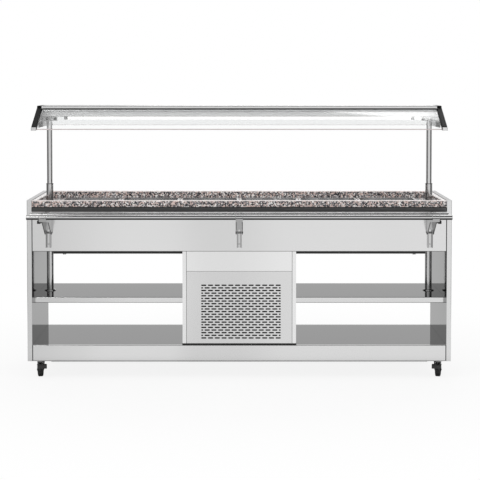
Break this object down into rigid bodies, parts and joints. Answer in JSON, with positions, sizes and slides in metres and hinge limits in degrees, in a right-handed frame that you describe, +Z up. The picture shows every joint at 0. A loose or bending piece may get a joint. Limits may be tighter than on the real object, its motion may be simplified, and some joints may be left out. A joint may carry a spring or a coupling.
{
  "type": "mobile salad bar",
  "caption": "Mobile refrigerated salad bar: stainless island on castors with food well, folding tray slides, machine compartment and a height-adjustable glass canopy.",
  "frame": {"origin": "on the floor under the middle of the bar", "axes": "+X along the bar to the right as seen from the guests' front, +Y from the front to the rear, +Z up"},
  "size_m": [2.25, 1.215, 1.45],
  "materials": {
    "stainless": "satin brushed stainless sheet",
    "bright_steel": "bright pressed stainless",
    "polished_steel": "polished stainless tube",
    "speckled_stone": null,
    "foam": "rigid foam, open grain",
    "cap_aluminium": "satin anodised",
    "dark_aluminium": "dark grey coated profile",
    "glass": "clear, polished edges",
    "lamp_white": "white glossy tube",
    "chrome_trim": "bright caps and dark screws",
    "black_paint": "black satin paint",
    "fin_aluminium": "bare fins",
    "black_plastic": "black moulded",
    "grey_plastic": "grey moulded",
    "zinc_plate": "zinc plated",
    "dark_plate": "dark coated pressed steel",
    "wheel_rubber": "dark grey rubber"
  },
  "bodies": {
    "cart": {"left_end_panel": "stainless", "right_end_panel": "stainless", "deck_sheet": "stainless", "base_frame": "stainless", "left_shelf": "stainless", "right_shelf": "stainless", "fascias": "stainless", "worktop": "bright_steel", "stone_rim": "speckled_stone", "well_tub": "bright_steel", "well_insulation": "foam", "well_casing": "stainless", "pan_bearers": "bright_steel", "post_sleeves": "polished_steel", "machine_housing": "stainless", "upper_panels": "stainless", "grille_panels": "stainless", "control_modules": "black_plastic", "compressor": "black_paint", "condenser": "fin_aluminium", "fan_shroud": "black_paint", "drain_pipe": "grey_plastic", "bracket_channels": "stainless", "screws": "stainless", "castor_plates": "zinc_plate"},
    "canopy": {"lift_rams": "polished_steel", "post_heads": "stainless", "canopy_cap": "cap_aluminium", "canopy_glass": "glass", "canopy_gables": "dark_aluminium", "lamp_housing": "stainless", "lamp_tube": "lamp_white", "canopy_fittings": "chrome_trim"},
    "front_tray": {"front_tray_rails": "polished_steel", "front_tray_arms": "stainless"},
    "rear_tray": {"rear_tray_rails": "polished_steel", "rear_tray_arms": "stainless"},
    "pan_1": {"pan_1": "bright_steel"},
    "pan_2": {"pan_2": "bright_steel"},
    "pan_3": {"pan_3": "bright_steel"},
    "pan_4": {"pan_4": "bright_steel"},
    "pan_5": {"pan_5": "bright_steel"},
    "pan_6": {"pan_6": "bright_steel"},
    "fan": {"fan_rotor": "black_plastic"},
    "cooling_rocker": {"cooling_switch": "black_plastic"},
    "lamp_rocker": {"lamp_switch": "black_plastic"},
    "castor_fl": {"castor_fork_fl": "dark_plate"},
    "wheel_fl": {"wheel_fl": "wheel_rubber"},
    "knob_fl": {"clamp_knob_fl": "black_plastic"},
    "castor_fr": {"castor_fork_fr": "dark_plate"},
    "wheel_fr": {"wheel_fr": "wheel_rubber"},
    "knob_fr": {"clamp_knob_fr": "black_plastic"},
    "castor_rl": {"castor_fork_rl": "dark_plate"},
    "wheel_rl": {"wheel_rl": "wheel_rubber"},
    "knob_rl": {"clamp_knob_rl": "black_plastic"},
    "castor_rr": {"castor_fork_rr": "dark_plate"},
    "wheel_rr": {"wheel_rr": "wheel_rubber"},
    "knob_rr": {"clamp_knob_rr": "black_plastic"},
    "pedal_fl": {"brake_pedal_fl": "dark_plate"},
    "pedal_fr": {"brake_pedal_fr": "dark_plate"}
  },
  "joints": [
    {"name": "canopy_lift", "type": "slide", "parent": "cart", "child": "canopy", "axis": [0, 0, 1], "range_m": [-0.3, 0]},
    {"name": "front_tray_fold", "type": "hinge", "parent": "cart", "child": "front_tray", "pos_m": [0, -0.362, 0.783], "axis": [1, 0, 0], "range_deg": [0, 90]},
    {"name": "rear_tray_fold", "type": "hinge", "parent": "cart", "child": "rear_tray", "pos_m": [0, 0.362, 0.783], "axis": [-1, 0, 0], "range_deg": [0, 90]},
    {"name": "knob_fl_turn", "type": "hinge", "parent": "cart", "child": "knob_fl", "pos_m": [-1.01, -0.362, 0.839], "axis": [-1, 0, 0], "continuous": true},
    {"name": "knob_fr_turn", "type": "hinge", "parent": "cart", "child": "knob_fr", "pos_m": [1.01, -0.362, 0.839], "axis": [1, 0, 0], "continuous": true},
    {"name": "knob_rl_turn", "type": "hinge", "parent": "cart", "child": "knob_rl", "pos_m": [-1.01, 0.362, 0.839], "axis": [-1, 0, 0], "continuous": true},
    {"name": "knob_rr_turn", "type": "hinge", "parent": "cart", "child": "knob_rr", "pos_m": [1.01, 0.362, 0.839], "axis": [1, 0, 0], "continuous": true},
    {"name": "pan_1_lift", "type": "slide", "parent": "cart", "child": "pan_1", "axis": [0, 0, 1], "range_m": [0, 0.2]},
    {"name": "pan_2_lift", "type": "slide", "parent": "cart", "child": "pan_2", "axis": [0, 0, 1], "range_m": [0, 0.2]},
    {"name": "pan_3_lift", "type": "slide", "parent": "cart", "child": "pan_3", "axis": [0, 0, 1], "range_m": [0, 0.2]},
    {"name": "pan_4_lift", "type": "slide", "parent": "cart", "child": "pan_4", "axis": [0, 0, 1], "range_m": [0, 0.2]},
    {"name": "pan_5_lift", "type": "slide", "parent": "cart", "child": "pan_5", "axis": [0, 0, 1], "range_m": [0, 0.2]},
    {"name": "pan_6_lift", "type": "slide", "parent": "cart", "child": "pan_6", "axis": [0, 0, 1], "range_m": [0, 0.2]},
    {"name": "fan_spin", "type": "hinge", "parent": "cart", "child": "fan", "pos_m": [0.009, -0.194, 0.351], "axis": [0, 1, 0], "continuous": true},
    {"name": "cooling_switch_rock", "type": "hinge", "parent": "cart", "child": "cooling_rocker", "pos_m": [-0.07, 0.322, 0.6282], "axis": [1, 0, 0], "range_deg": [0, 16]},
    {"name": "lamp_switch_rock", "type": "hinge", "parent": "cart", "child": "lamp_rocker", "pos_m": [-0.11, 0.322, 0.6282], "axis": [1, 0, 0], "range_deg": [0, 16]},
    {"name": "castor_fl_swivel", "type": "hinge", "parent": "cart", "child": "castor_fl", "pos_m": [-1.062, -0.285, 0.084], "axis": [0, 0, 1], "continuous": true},
    {"name": "wheel_fl_roll", "type": "hinge", "parent": "castor_fl", "child": "wheel_fl", "pos_m": [-1.06769, -0.26375, 0.0375], "axis": [0.9659, 0.2588, 0], "continuous": true},
    {"name": "pedal_fl_tread", "type": "hinge", "parent": "castor_fl", "child": "pedal_fl", "pos_m": [-1.05889, -0.29659, 0.066], "axis": [0.9659, 0.2588, 0], "range_deg": [0, 20]},
    {"name": "castor_fr_swivel", "type": "hinge", "parent": "cart", "child": "castor_fr", "pos_m": [1.062, -0.285, 0.084], "axis": [0, 0, 1], "continuous": true},
    {"name": "wheel_fr_roll", "type": "hinge", "parent": "castor_fr", "child": "wheel_fr", "pos_m": [1.06769, -0.26375, 0.0375], "axis": [0.9659, -0.2588, 0], "continuous": true},
    {"name": "pedal_fr_tread", "type": "hinge", "parent": "castor_fr", "child": "pedal_fr", "pos_m": [1.05889, -0.29659, 0.066], "axis": [0.9659, -0.2588, 0], "range_deg": [0, 20]},
    {"name": "castor_rl_swivel", "type": "hinge", "parent": "cart", "child": "castor_rl", "pos_m": [-1.062, 0.285, 0.084], "axis": [0, 0, 1], "continuous": true},
    {"name": "wheel_rl_roll", "type": "hinge", "parent": "castor_rl", "child": "wheel_rl", "pos_m": [-1.06769, 0.26375, 0.0375], "axis": [-0.9659, 0.2588, 0], "continuous": true},
    {"name": "castor_rr_swivel", "type": "hinge", "parent": "cart", "child": "castor_rr", "pos_m": [1.062, 0.285, 0.084], "axis": [0, 0, 1], "continuous": true},
    {"name": "wheel_rr_roll", "type": "hinge", "parent": "castor_rr", "child": "wheel_rr", "pos_m": [1.06769, 0.26375, 0.0375], "axis": [-0.9659, -0.2588, 0], "continuous": true}
  ]
}
